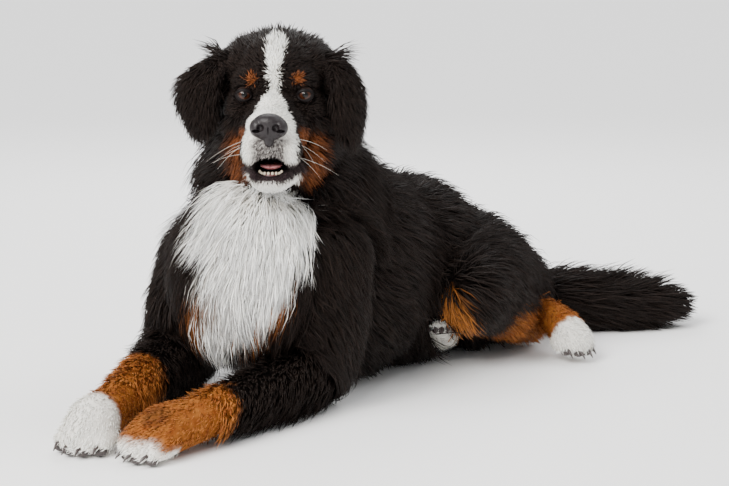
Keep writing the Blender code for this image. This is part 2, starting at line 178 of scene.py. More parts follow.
# How much longer or shorter the hair is: measured along what, at which places, times what
lengthRules = {
    "head": (("ahead", (-0.07, -0.03, 0.03), (2.2, 1.0, 0.5)), ("aside", (0.05, 0.07), (1.0, 0.45))),
    "ears": (("up", (0.030, 0.058), (1.0, 0.35)),),
    "cheeks": (("ahead", (-0.06, -0.02, 0.025), (1.35, 0.8, 0.35)),),
    "ruff": (("z", (0.40, 0.46), (1.0, 0.8)),),
    "forearms": (("z", (0.02, 0.05), (1.7, 1.0)), ("y", (-0.22, -0.05), (0.8, 1.4))),
    "tail": (("y", (0.60, 0.78, 0.85), (1.0, 0.85, 0.40)),),
    "chest": (("z", (0.08, 0.16), (0.6, 1.0)),),
}

colours = {
    "black": "#110c0b",
    # Painted sheen: brown tone added to the tips of black hair
    "blackTipSheen": "#2b211b",
    "rust": "#9e612c",
    "rustDeep": "#7a3d18",
    "faceRust": "#744021",
    "white": "#f8f4ec",
    "lip": "#2a2123",
    "speckle": "#403a3b",
}


def linear(code):
    # sRGB hex code to linear light
    values = [int(code[i:i + 2], 16) / 255 for i in (1, 3, 5)]
    return np.array([v / 12.92 if v <= 0.04045 else ((v + 0.055) / 1.055) ** 2.4 for v in values])


def headFrame():
    yaw, pitch = head["yaw"], head["pitch"]
    forward = Vector((math.sin(yaw) * math.cos(pitch), -math.cos(yaw) * math.cos(pitch), math.sin(pitch)))
    left = Vector((math.cos(yaw), math.sin(yaw), 0))
    turn = Matrix((forward, left, forward.cross(left))).transposed().to_4x4()
    return Matrix.Translation(head["eyesMiddle"]) @ turn


headAxes = headFrame()
eyeLow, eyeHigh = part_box("leftEye")
shift = (eyeLow + eyeHigh) / 2 - headAxes @ Vector((0, head["eyeSide"], 0))    # from the tables to the frame
headTurn = np.array(headAxes.to_3x3())
headPlace = np.array(headAxes.translation)


def toHead(points):
    return (points - headPlace) @ headTurn


def fromHead(points):
    return np.asarray(points) @ headTurn.T + headPlace


def linked(name, data):
    thing = bpy.data.objects.new(name, data)
    bpy.context.scene.collection.objects.link(thing)
    return thing


def shadeSmooth(mesh):
    mesh.polygons.foreach_set("use_smooth", [True] * len(mesh.polygons))


def meshFrom(name, points, faces):
    mesh = bpy.data.meshes.new(name)
    mesh.from_pydata([tuple(p) for p in points], [], [tuple(f) for f in faces])
    mesh.validate()
    shadeSmooth(mesh)
    return linked(name, mesh)


def faceOutwards(thing):
    form = bmesh.new()
    form.from_mesh(thing.data)
    bmesh.ops.recalc_face_normals(form, faces=form.faces)
    form.to_mesh(thing.data)
    form.free()
    shadeSmooth(thing.data)


def applied(thing):
    depsgraph = bpy.context.evaluated_depsgraph_get()
    mesh = bpy.data.meshes.new_from_object(thing.evaluated_get(depsgraph))
    thing.modifiers.clear()
    thing.data = mesh
    shadeSmooth(mesh)
    return thing


def unitBall(around, along):
    points = [(0, 0, 1)]
    for i in range(1, along):
        polar = math.pi * i / along
        for j in range(around):
            turn = 2 * math.pi * j / around
            points.append((math.sin(polar) * math.cos(turn), math.sin(polar) * math.sin(turn),
                           math.cos(polar)))
    points.append((0, 0, -1))
    last = len(points) - 1
    faces = []
    for j in range(around):
        k = (j + 1) % around
        faces.append((0, 1 + j, 1 + k))
        faces.append((last, last - around + k, last - around + j))
        for i in range(along - 2):
            a = 1 + i * around
            faces.append((a + j, a + around + j, a + around + k))
            faces.append((a + j, a + around + k, a + k))
    return np.array(points), np.array(faces)


ballPoints, ballFaces = unitBall(20, 12)


def joinedBalls(name, balls):
    # Balls given as centre, half axes, turn matrix, joined in one mesh
    points = [ballPoints * np.array(half) @ np.array(turn).T + np.array(centre)
              for centre, half, turn in balls]
    faces = [ballFaces + i * len(ballPoints) for i in range(len(balls))]
    return meshFrom(name, np.concatenate(points), np.concatenate(faces))


def headPart(name, forms):
    # Balls given in head axes as centre and half axes
    return joinedBalls(name, [(fromHead(centre), half, headTurn) for centre, half in forms])


def limbBalls(points):
    balls = []
    for (x0, y0, z0, r0), (x1, y1, z1, r1) in zip(points, points[1:]):
        start, end = np.array((x0, y0, z0)), np.array((x1, y1, z1))
        steps = max(3, math.ceil(np.linalg.norm(end - start) / (0.22 * min(r0, r1))))
        for number in range(steps + 1):
            part = number / steps
            radius = r0 + (r1 - r0) * part
            balls.append((start + (end - start) * part, (radius,) * 3, np.eye(3)))
    return balls


def remeshed(thing, voxel, smoothing):
    remesh = thing.modifiers.new("remesh", "REMESH")
    remesh.mode = "VOXEL"
    remesh.voxel_size = voxel
    smooth = thing.modifiers.new("smooth", "SMOOTH")
    smooth.factor = 0.5
    smooth.iterations = smoothing
    return applied(thing)


def boolean(thing, other, operation):
    cut = thing.modifiers.new("cut", "BOOLEAN")
    cut.object = other
    cut.operation = operation
    cut.solver = "MANIFOLD"
    applied(thing)
    bpy.data.objects.remove(other)
    return thing


def toesOf(paw):
    # The four toes of a paw: middle, the way they point, how far each is set back, radius, size
    middle, direction, spread, radius = paws[paw]
    forward = np.array(direction) / np.linalg.norm(direction)
    side = np.cross(forward, (0, 0, 1))
    side /= np.linalg.norm(side)
    return [(np.array(middle) + side * place * spread, forward, back, radius, size)
            for place, back, size in toeRow]


def toeBalls(paw):
    balls = []
    for middle, forward, back, radius, size in toesOf(paw):
        for slide, share in ((-0.026, 0.90), (-0.012, 1.0), (0.0, 1.0)):
            balls.append((middle + forward * (slide - back), (radius * size * share,) * 3, np.eye(3)))
    return balls


def bodyForm():
    balls = []
    for centre, half, turn in trunk.values():
        balls.append((centre, half, Matrix.Rotation(math.radians(turn), 3, "Z")))
    for points in limbs.values():
        balls += limbBalls(points)
    for paw in paws:
        balls += toeBalls(paw)
    return remeshed(joinedBalls("body", balls), skin["bodyVoxel"], skin["bodySmoothing"])


def earMesh(rows):
    points = fromHead(np.array(rows).reshape(-1, 3))
    faces = []
    for row in range(3):
        for column in range(2):
            a = row * 3 + column
            faces.append((a, a + 1, a + 4, a + 3))
    thing = meshFrom("ear", points, faces)
    thick = thing.modifiers.new("thick", "SOLIDIFY")
    thick.thickness = ears["thickness"]
    thick.offset = 0
    soft = thing.modifiers.new("soft", "SUBSURF")
    soft.levels = 3
    soft.render_levels = 3
    applied(thing)
    faceOutwards(thing)
    return thing


def headForm():
    forms = list(headBalls.values())
    for (ahead, aside, up), half in headPairs.values():
        for side in (1, -1):
            forms.append(((ahead, aside * side, up), half))
    thing = headPart("headForm", forms)
    for side in ("left", "right"):
        ear = earMesh(ears[side])
        both = bmesh.new()
        both.from_mesh(thing.data)
        both.from_mesh(ear.data)
        both.to_mesh(thing.data)
        both.free()
        bpy.data.objects.remove(ear)
    remeshed(thing, skin["headVoxel"], skin["headSmoothing"])
    boolean(thing, headPart("mouth", [mouthHole]), "DIFFERENCE")
    for side in (1, -1):
        socket = ((0, head["eyeSide"] * side, 0), (head["eyeRadius"] + 0.0004,) * 3)
        boolean(thing, headPart("socket", [socket]), "DIFFERENCE")
    return thing


def pointsOf(thing):
    values = np.empty(len(thing.data.vertices) * 3)
    thing.data.vertices.foreach_get("co", values)
    return values.reshape(-1, 3)


def softNoise(points, scale, seed):
    # Smooth noise from a few seeded waves, about -1 to 1
    rng = np.random.default_rng(seed)
    total = np.zeros(len(points))
    for wave in range(5):
        direction = rng.normal(size=3)
        direction *= (0.6 + 0.8 * rng.random()) * 2 * math.pi / scale / np.linalg.norm(direction)
        total += np.sin(points @ direction + rng.random() * 6.28)
    return total / 2.6


def limbDistance(points, bones):
    # Distance to a limb's surface, and how far along it the nearest place is, 0 to 1
    best = np.full(len(points), 9.0)
    along = np.zeros(len(points))
    direction = np.zeros((len(points), 3))
    for index, (start, end) in enumerate(zip(bones, bones[1:])):
        a, b = np.array(start[:3]), np.array(end[:3])
        axis = b - a
        part = np.clip((points - a) @ axis / (axis @ axis), 0, 1)
        radius = start[3] + (end[3] - start[3]) * part
        gap = np.linalg.norm(points - a - part[:, None] * axis, axis=1) - radius
        nearer = gap < best
        best[nearer] = gap[nearer]
        along[nearer] = (index + part[nearer]) / (len(bones) - 1)
        direction[nearer] = axis / np.linalg.norm(axis)
    return best, along, direction


# White bib on the chest: heights of the tips, and at each the turn of its left and right edges in degrees
bib = {
    "heights": (0.086, 0.10, 0.12, 0.135, 0.15, 0.17, 0.19, 0.22, 0.24, 0.28, 0.33, 0.36, 0.39),
    "left": (-1, -3, -4, -5, -6, 2, 9, 9, 7, -1, -8, -4, 10),
    "right": (0, 8, 14, 18, 22, 32, 38, 47, 53, 62, 70, 62, 52),
}
thighStripe = ((0.139, 0.248, 0.205, 0), (0.145, 0.252, 0.155, 0), (0.160, 0.270, 0.110, 0),
               (0.140, 0.340, 0.070, 0))           # x, y, z and radius, as of a limb


def onHead(points):
    spot = toHead(points) - np.array(neckline[0])
    return spot @ np.array(neckline[1]) > 0


def regionsOf(points):
    # Name of the coat's region at each point, with the direction of the nearest bone
    names = np.full(len(points), "trunk", dtype="<U12")
    best = np.full(len(points), 9.0)
    for centre, half, turn in trunk.values():
        spin = np.array(Matrix.Rotation(math.radians(turn), 3, "Z"))
        spot = (points - np.array(centre)) @ spin / np.array(half)
        gap = (np.linalg.norm(spot, axis=1) - 1) * min(half)
        best = np.minimum(best, gap)
    bone = np.tile((0.0, 1.0, 0.0), (len(points), 1))
    groups = {"neck": "ruff", "tail": "tail", "UpperArm": "upperArms", "Forearm": "forearms",
              "Forepaw": "paws", "Thigh": "thighs", "Shin": "shins", "HindFoot": "paws"}
    for limb, bones in limbs.items():
        gap, along, direction = limbDistance(points, bones)
        nearer = gap < best - 0.001
        names[nearer] = groups[limb.removeprefix("left").removeprefix("right")]
        bone[nearer] = direction[nearer]
        best[nearer] = gap[nearer]
    front = (points[:, 1] < -0.075 + 0.35 * (points[:, 2] - 0.2)) & np.isin(names, ("trunk", "ruff"))
    names[front & (points[:, 2] < 0.37)] = "chest"
    ahead, left, up = toHead(points).T
    aside = np.abs(left)
    isHead = onHead(points)
    names[isHead] = "head"
    names[isHead & (ahead < -0.075) & (up < 0.045)] = "ruff"
    names[isHead & (ahead < 0.030) & (ahead > -0.085) & (up < -0.030) & (aside > 0.030)] = "cheeks"
    names[isHead & (ahead < -0.030) & (aside > 0.066) & (up < 0.060)] = "cheeks"
    names[isHead & (ahead > 0.030) & (aside < 0.06)] = "muzzle"
    isEar = (aside > 0.080 + 0.06 * np.maximum(up, 0)) & (up > -0.085) & (up < 0.075)
    names[isEar & (ahead > -0.1) & (ahead < 0.02)] = "ears"
    return names, bone


def step(value, edge, soft):
    # 0 below the edge and 1 above it, over a soft width
    return np.clip((value - edge) / soft + 0.5, 0, 1)


def mixed(base, colour, share):
    return base * (1 - share[:, None]) + colour * share[:, None]


def markings(points, names):
    # Colour of skin and coat alike at each point
    tones = ("black", "rust", "rustDeep", "faceRust", "white", "lip", "speckle")
    black, rust, rustDeep, faceRust, white, lip, speckle = (linear(colours[tone]) for tone in tones)
    base = np.tile(black, (len(points), 1))
    x, y, z = points.T
    wobble = softNoise(points, 0.035, 3) * 0.006
    fine = softNoise(points, 0.012, 4)

    # Forelegs: rust from the middle of the forearm, white right paw, white tips to the left toes
    limb = np.isin(names, ("forearms", "paws")) & (y < -0.10)
    shaded = mixed(rust[None] * np.ones((len(points), 1)), rustDeep, np.clip(0.35 + 0.45 * fine, 0, 1))
    isRight = x < 0.040 + 0.12 * np.clip(y + 0.30, 0, 1)
    start = np.where(isRight, -0.198, -0.232) + 0.25 * (z - 0.03)
    base = mixed(base, shaded, step(start - y + wobble, 0.0, 0.022) * limb)
    base = mixed(base, white, step(-y + wobble, 0.338, 0.014) * (limb & isRight))
    toes = np.maximum(step(-y, 0.372, 0.012) * step(-z, -0.036, 0.012),
                      step(-y, 0.335, 0.01) * step(-z, -0.020, 0.006))
    base = mixed(base, white, toes * (limb & ~isRight))
    patch = np.linalg.norm(points - np.array((0.104, -0.352, 0.066)), axis=1)
    base = mixed(base, black, step(-patch, -0.020, 0.012) * (limb & ~isRight) * 0.5)

    # Hind legs: a rust stripe down the thigh's front, rust shin and hock, white feet
    stripe = limbDistance(points, thighStripe)[0]
    base = mixed(base, rust, step(-stripe + wobble, -0.019, 0.008) * ((x > 0.07) & (names == "thighs")))
    gapShin, alongShin = limbDistance(points, limbs["leftShin"])[:2]
    gapFoot, alongFoot = limbDistance(points, limbs["leftHindFoot"])[:2]
    isShin = np.isin(names, ("shins", "paws")) & (gapShin < 0.04)
    hock = np.where(isShin, step(alongShin + wobble * 5, 0.28, 0.15), 0)
    hock = np.maximum(hock, np.where(gapFoot < 0.03, 1.0, 0.0))
    base = mixed(base, shaded, hock)
    base = mixed(base, white, np.where(gapFoot < 0.03, step(alongFoot + wobble * 4, 0.72, 0.06), 0))
    gapFar, alongFar = limbDistance(points, limbs["rightHindFoot"])[:2]
    isFar = (gapFar < 0.03) & (names == "paws")
    base = mixed(base, white, np.where(isFar, step(alongFar + wobble * 4, 0.55, 0.08), 0))

    # Bib: its left and right edges as turns about the chest at each height of the tips
    turn = np.degrees(np.arctan2(x - 0.02, -y)) + wobble * 700
    tipHeight = z - 0.034 + wobble
    leftEdge = np.interp(tipHeight, bib["heights"], bib["left"])
    rightEdge = np.interp(tipHeight, bib["heights"], bib["right"])
    inside = step(turn - leftEdge, 0.0, 2.5) * step(rightEdge - turn, 0.0, 3.5)
    inside = inside * step(tipHeight, 0.088, 0.008) * step(-tipHeight, -0.368, 0.01)
    breast = np.isin(names, ("chest", "ruff", "trunk", "upperArms")) & (y < 0.12)
    low = step(-tipHeight, -0.205, 0.02) * step(tipHeight, 0.135, 0.015)
    fringe = low * np.maximum(step(turn - leftEdge, -9, 5), 0) * step(rightEdge + 8 - turn, 0.0, 5)
    base = mixed(base, shaded * 0.8, fringe * breast * 0.85)
    base = mixed(base, white, inside * breast)

    # Face in head axes: rust cheeks and brow dots, white blaze, dark lips and eye rims, speckle by the nose,
    # painted shade inside the mouth
    ahead, left, up = toHead(points).T
    side = np.abs(left)
    face = onHead(points) & (names != "ears")
    wobbleFace = softNoise(points, 0.012, 5) * 0.0016
    cheek = step(side, 0.036, 0.008) * step(-up, 0.046, 0.010)
    cheek = cheek * step(ahead, -0.040, 0.014) * step(-ahead, -0.066, 0.02)
    cheek = cheek * step(up, -0.128, 0.015) * step(-side, -0.059, 0.012)
    cheek = cheek * np.clip(0.85 + 0.25 * fine, 0, 1)
    base = mixed(base, faceRust, cheek * face)
    dot = np.sqrt(((side - 0.033) / 0.0062) ** 2 + ((up - 0.023) / 0.0072) ** 2)
    dot = dot + softNoise(points, 0.008, 6) * 0.12
    base = mixed(base, faceRust, step(-dot, -1.0, 0.25) * (ahead > -0.01) * face * 0.85)
    travel = ahead * 0.6 - up
    blazeHalf = np.interp(travel, (-0.112, -0.100, -0.090, -0.040, 0.002, 0.018, 0.046, 0.069, 0.112, 0.20),
                          (0.003, 0.0120, 0.0140, 0.0085, 0.0046, 0.0075, 0.0185, 0.0270, 0.0370, 0.0400))
    blaze = step(blazeHalf - side + wobbleFace, 0.0, 0.0022) * step(ahead, -0.050, 0.006)
    blaze = blaze * np.where(travel > 0.045, step(ahead, 0.028, 0.010), 1)
    base = mixed(base, white, blaze * face)
    corner = 0.55 * np.maximum(side - 0.020, 0)
    jawEdge = step(-up + corner * 0.2, 0.094, 0.005) * step(up - corner, -0.1200, 0.004)
    jawEdge = jawEdge * step(ahead, 0.010, 0.01)
    base = mixed(base, lip, jawEdge * step(-(side - 0.056), 0, 0.006) * face)
    underNose = step(0.0235 - side, 0, 0.012) * step(-up, 0.056, 0.010)
    underNose = underNose * step(ahead, 0.092, 0.012) * step(up, -0.096, 0.006)
    underNose = np.clip(underNose * (0.85 + 0.3 * softNoise(points, 0.004, 8)), 0, 1)
    base = mixed(base, speckle, underNose * face)
    # Painted shade: the hollow inside the mouth at half the lips' dark tone
    inner = np.sqrt(((ahead - mouthHole[0][0]) / mouthHole[1][0]) ** 2 + (left / mouthHole[1][1]) ** 2
                    + ((up - mouthHole[0][2]) / mouthHole[1][2]) ** 2)
    base = mixed(base, lip * 0.5, np.where(inner < 1.12, 1.0, 0.0) * face)
    eyeGap = np.sqrt((side - head["eyeSide"]) ** 2 + (up * 1.15) ** 2 + (ahead - 0.010) ** 2)
    base = mixed(base, lip * 0.6, step(-eyeGap, -0.0135, 0.003) * face)
    return base


def colourAttribute(mesh, colour):
    layer = mesh.color_attributes.new("coatColour", "FLOAT_COLOR", "POINT")
    values = np.ones((len(colour), 4), np.float32)
    values[:, :3] = colour
    layer.data.foreach_set("color", values.ravel())


def lieOf(points, names, bone):
    # The way the coat lies at each point, before it is laid on the skin
    spot = toHead(points)
    side = np.sign(points[:, 0] - 0.03)[:, None]
    across = np.sign(spot[:, 1])[:, None]
    fromNose = spot - np.array((0.125, 0, -0.010))
    fromNose[:, 2] -= 0.25 * np.abs(fromNose[:, 0]) + 0.15 * np.abs(spot[:, 1])
    fromNose[:, 1] *= 1.3
    ways = {
        "chest": (-0.05, -0.25, -1.0) + np.array((1.0, 0, 0)) * (points[:, 0] - 0.06)[:, None] * 3.0,
        "ruff": (0.05, 0.25, -1.0),
        "upperArms": (0.0, 0.35, -1.0) + side * (0.1, 0, 0),
        "thighs": (0.0, 0.75, -0.75),
        "tail": bone + (0, 0, -0.10),
        "forearms": bone * 0.8 + (0, 0.2, -0.45) + side * (0.25, 0, 0),
        "paws": bone + (0, 0, -0.15),
        "shins": bone + (0, 0, -0.15),
        "head": fromNose @ headTurn.T,
        "muzzle": fromNose @ headTurn.T,
        "cheeks": (np.array((-0.7, 0, -0.8)) + across * (0, 0.45, 0)) @ headTurn.T,
        "ears": (np.array((-0.15, 0, -1.0)) + across * (0, 0.12, 0)) @ headTurn.T,
    }
    lie = np.tile((0.0, 0.90, -0.70), (len(points), 1))
    for name, way in ways.items():
        lie = np.where((names == name)[:, None], way, lie)
    backHead = onHead(points) & (names == "ruff")
    lie = np.where(backHead[:, None], (np.array((-0.8, 0.0, -0.8)) + np.zeros_like(spot)) @ headTurn.T, lie)
    turn = np.stack([softNoise(points, 0.10, seed) for seed in (21, 22, 23)], axis=1)
    return lie / np.linalg.norm(lie, axis=1)[:, None] + turn * 0.22


def flat(vectors, normals):
    # Directions laid flat on the skin
    vectors = vectors - normals * np.sum(vectors * normals, axis=1)[:, None]
    return vectors / np.maximum(np.linalg.norm(vectors, axis=1), 1e-9)[:, None]


def onSurface(tree, points):
    near = [tree.find_nearest(Vector(p)) for p in points]
    return np.array([n[0] for n in near]), np.array([n[1] for n in near])


def gathered(points, roots, cell, share):
    # Draws the tips of neighbours together into locks
    keys = np.floor(roots / cell).astype(np.int64)
    keys = keys[:, 0] * 73856093 ^ keys[:, 1] * 19349663 ^ keys[:, 2] * 83492791
    which = np.unique(keys, return_inverse=True)[1]
    size = np.bincount(which)
    centre = np.stack([np.bincount(which, points[:, axis]) / size for axis in range(3)], axis=1)
    return points + (centre[which] - points) * share[:, None]


def tuftPaths(skinTree, roots, normals, lie, settings, scale, short, straight, rng):
    # Points along each tuft from root to tip, over the skin that it lies on
    count = len(roots)
    length = settings["length"] * scale * rng.uniform(0.70, 1.20, count)
    lie = flat(lie + rng.normal(0, 0.16, (count, 3)), normals)
    reach = settings["depth"] * scale * rng.uniform(0.60, 1.0, count)
    reach *= 1 + tuft["shortStray" if short else "longStray"] * (rng.random(count) < tuft["strays"])
    sway = softNoise(roots, 0.045, 31) * 0.6 + rng.normal(0, 0.5, count)
    steps = 2 if short else 3
    path = [roots - normals * tuft["root"]]
    outs = [normals]
    place, out, heading = roots, normals, lie
    for number in range(1, steps + 1):
        part = number / steps
        if short or straight:
            target, nextOut = roots + heading * (length * part)[:, None], normals
        else:
            target, nextOut = onSurface(skinTree, place + heading * (length / steps)[:, None])
            heading = flat(heading + np.array((0, 0, -tuft["sag"])), nextOut)
        place, out = target, nextOut
        wave = np.cross(heading, out) * (sway * length * tuft["wave"] * math.sin(part * 4.2))[:, None]
        path.append(place + wave + out * (reach * part ** 0.75)[:, None])
        outs.append(out)
    share = settings["gather"] * rng.uniform(0.7, 1.1, count)
    if settings["gather"] > 0:
        lock = tuft["shortLock" if short else "longLock"]
        path[-1] = gathered(path[-1], roots, lock, np.minimum(share, 0.85))
        path[-2] = gathered(path[-2], roots, lock, np.minimum(share * 0.45, 0.5))
    path = np.stack(path, axis=1)
    path[:, 1:, 2] = np.maximum(path[:, 1:, 2], tuft["floor"])
    return path, np.stack(outs, axis=1)


def lengthScale(roots, name):
    ahead, left, up = toHead(roots).T
    measures = {"ahead": ahead, "aside": np.abs(left), "up": up, "y": roots[:, 1], "z": roots[:, 2]}
    scale = np.ones(len(roots))
    for measure, places, factors in lengthRules.get(name, ()):
        scale = scale * np.interp(measures[measure], places, factors)
    return scale


def boxUnwrap(points, normals):
    # The skin seen along the nearest of six directions, each in its own tile of the map
    axis = np.argmax(np.abs(normals), axis=1)
    tile = axis * 2 + (normals[np.arange(len(points)), axis] > 0)
    low, high = points.min(axis=0), points.max(axis=0)
    part = (points - low) / np.maximum(high - low, 1e-6)
    across = np.where(axis == 0, part[:, 1], part[:, 0])
    along = np.where(axis == 2, part[:, 1], part[:, 2])
    return np.stack([(tile % 3 + 0.04 + 0.92 * across) / 3, (tile // 3 + 0.04 + 0.92 * along) / 2], axis=1)


def tuftMesh(name, path, outs, width, colour, spots):
    # Closed three-sided tapered tufts in one mesh
    count, steps = path.shape[:2]
    along = np.empty_like(path)
    along[:, 1:-1] = path[:, 2:] - path[:, :-2]
    along[:, 0] = path[:, 1] - path[:, 0]
    along[:, -1] = path[:, -1] - path[:, -2]
    along /= np.maximum(np.linalg.norm(along, axis=2), 1e-9)[..., None]
    side = np.cross(along, outs)
    side /= np.maximum(np.linalg.norm(side, axis=2), 1e-9)[..., None]
    up = np.cross(side, along)
    edges = []
    for number in range(steps - 1):
        half = (width * tuft["widths"][number] / 2)[:, None]
        edges.append(path[:, number] + side[:, number] * half - up[:, number] * half * 0.15)
        edges.append(path[:, number] + up[:, number] * half * 0.45)
        edges.append(path[:, number] - side[:, number] * half - up[:, number] * half * 0.15)
    edges.append(path[:, -1])
    each = len(edges)
    points = np.stack(edges, axis=1)
    faces = [(0, 1, 2)]
    for number in range(steps - 2):
        a = number * 3
        for i in range(3):
            j = (i + 1) % 3
            faces.append((a + i, a + 3 + i, a + 3 + j))
            faces.append((a + i, a + 3 + j, a + j))
    a = (steps - 2) * 3
    for i in range(3):
        faces.append((a + i, each - 1, a + (i + 1) % 3))
    faces = np.array(faces)
    corners = (faces[None] + (np.arange(count) * each)[:, None, None]).reshape(-1)
    mesh = bpy.data.meshes.new(name)
    mesh.vertices.add(count * each)
    mesh.vertices.foreach_set("co", points.astype(np.float32).ravel())
    mesh.loops.add(len(corners))
    mesh.loops.foreach_set("vertex_index", corners.astype(np.int32))
    mesh.polygons.add(len(corners) // 3)
    mesh.polygons.foreach_set("loop_start", np.arange(0, len(corners), 3, dtype=np.int32))
    mesh.update(calc_edges=True)
    shadeSmooth(mesh)
    colourAttribute(mesh, colour.reshape(-1, 3))
    patch = 0.003                                  # share of the map that one tuft takes
    offsets = np.zeros((each, 2))
    for number in range(steps - 1):
        for i in range(3):
            offsets[number * 3 + i] = ((i - 1) * patch / 2, patch * number / (steps - 1) - patch / 2)
    offsets[-1] = (0, patch / 2)
    vertexSpots = (spots[:, None] + offsets[None]).reshape(-1, 2)
    layer = mesh.uv_layers.new(name="OFBake")
    layer.data.foreach_set("uv", vertexSpots[corners].astype(np.float32).ravel())
    return linked(name, mesh)


def tuftColours(roots, names, steps, rng):
    # Painted shade and light: darker at the root, where the tufts shade each other, paler tips with a painted
    # brown sheen on black hair, and no two tufts alike
    jitter = roots + rng.normal(0, 0.0012, roots.shape)
    base = markings(jitter, names)
    each = (steps - 1) * 3 + 1
    pale = np.clip(base.mean(axis=1) / 0.5, 0, 1)[:, None]
    bright = rng.uniform(0.78, 1.18, len(roots))[:, None]
    bright = bright * (1 - pale) + (0.94 + 0.06 * bright) * pale
    # Painted sheen: a brown tone laid on the tips of black hair
    paintedSheen = linear(colours["blackTipSheen"]) * (0.55 * (1 - pale)) * rng.uniform(0.3, 1.2, len(roots))[:, None]
    # Painted light: tips paler than the hair's own colour, plus the painted brown sheen
    tip = base * 1.15 + paintedSheen
    # Painted shade: roots darker, where the tufts shade each other
    root = base * (0.62 + 0.20 * pale)
    result = np.empty((len(roots), each, 3))
    for number in range(steps):
        part = number / (steps - 1)
        ring = (root + (tip - root) * part ** 0.7) * bright
        result[:, number * 3:number * 3 + 3] = ring[:, None]
    return np.clip(result, 0, 0.93)


def rootPlaces(thing, count, seed):
    # Seeded places spread evenly over a surface, with their normals
    mesh = thing.data
    mesh.calc_loop_triangles()
    corners = np.empty(len(mesh.loop_triangles) * 3, np.int32)
    mesh.loop_triangles.foreach_get("vertices", corners)
    corners = corners.reshape(-1, 3)
    points = pointsOf(thing)
    a, b, c = (points[corners[:, i]] for i in range(3))
    cross = np.cross(b - a, c - a)
    area = np.linalg.norm(cross, axis=1)
    rng = np.random.default_rng(seed)
    chosen = rng.choice(len(area), count, p=area / area.sum())
    u, v = rng.random(count), rng.random(count)
    over = u + v > 1
    u[over], v[over] = 1 - u[over], 1 - v[over]
    places = a[chosen] + (b - a)[chosen] * u[:, None] + (c - a)[chosen] * v[:, None]
    return places, cross[chosen] / area[chosen][:, None]


def hairyPlaces(places, normals):
    # Hair grows everywhere but on the eyes, nose and mouth and where the dog rests on the floor
    spot = toHead(places)
    ahead, left, up = spot.T
    eyeGap = np.sqrt((np.abs(left) - head["eyeSide"]) ** 2 + up ** 2 + (ahead - 0.006) ** 2)
    noseGap = np.linalg.norm((spot - np.array(nose["centre"])) / np.array(nose["bare"]), axis=1)
    mouthGap = np.linalg.norm((spot - np.array(mouthHole[0])) / np.array(mouthHole[1]), axis=1)
    hairy = (eyeGap > 0.0165) & (noseGap > 1) & (mouthGap > 1.10) & (places[:, 2] > 0.003)
    return hairy & ~((places[:, 2] < 0.020) & (normals[:, 2] < -0.6))


def makeCoat(dog):
    places, normals = rootPlaces(dog, rootsTried["count"], rootsTried["seed"])
    names, bone = regionsOf(places)
    hairy = hairyPlaces(places, normals)
    skinTree = BVHTree.FromPolygons([tuple(v.co) for v in dog.data.vertices],
                                    [tuple(p.vertices) for p in dog.data.polygons])
    pieces = []
    for number, name in enumerate(coat):
        settings = dict(zip(coatFacts, coat[name]))
        rng = np.random.default_rng(100 + number)
        index = np.flatnonzero(hairy & (names == name))[:settings["count"]]
        roots, outwards, regions = places[index], normals[index], names[index]
        short = name not in longCoats
        scale = lengthScale(roots, name)
        lie = lieOf(roots, regions, bone[index])
        path, outs = tuftPaths(skinTree, roots, outwards, lie, settings, scale, short, name == "tail", rng)
        width = settings["width"] * rng.uniform(0.75, 1.25, len(index))
        colour = tuftColours(roots, regions, path.shape[1], rng)
        spots = boxUnwrap(roots, outwards)
        order = np.argsort(roots[:, 1], kind="stable")
        most = mostTufts["short" if short else "long"]
        groups = np.array_split(order, max(1, math.ceil(len(order) / most)))
        for part, group in enumerate(groups):
            title = name + "Coat" + (str(part + 1) if len(groups) > 1 else "")
            thing = tuftMesh(title, path[group], outs[group], width[group], colour[group], spots[group])
            pieces.append(dressed(thing, "longCoat"))
        print("coat", name, len(index), "tufts")
    return pieces


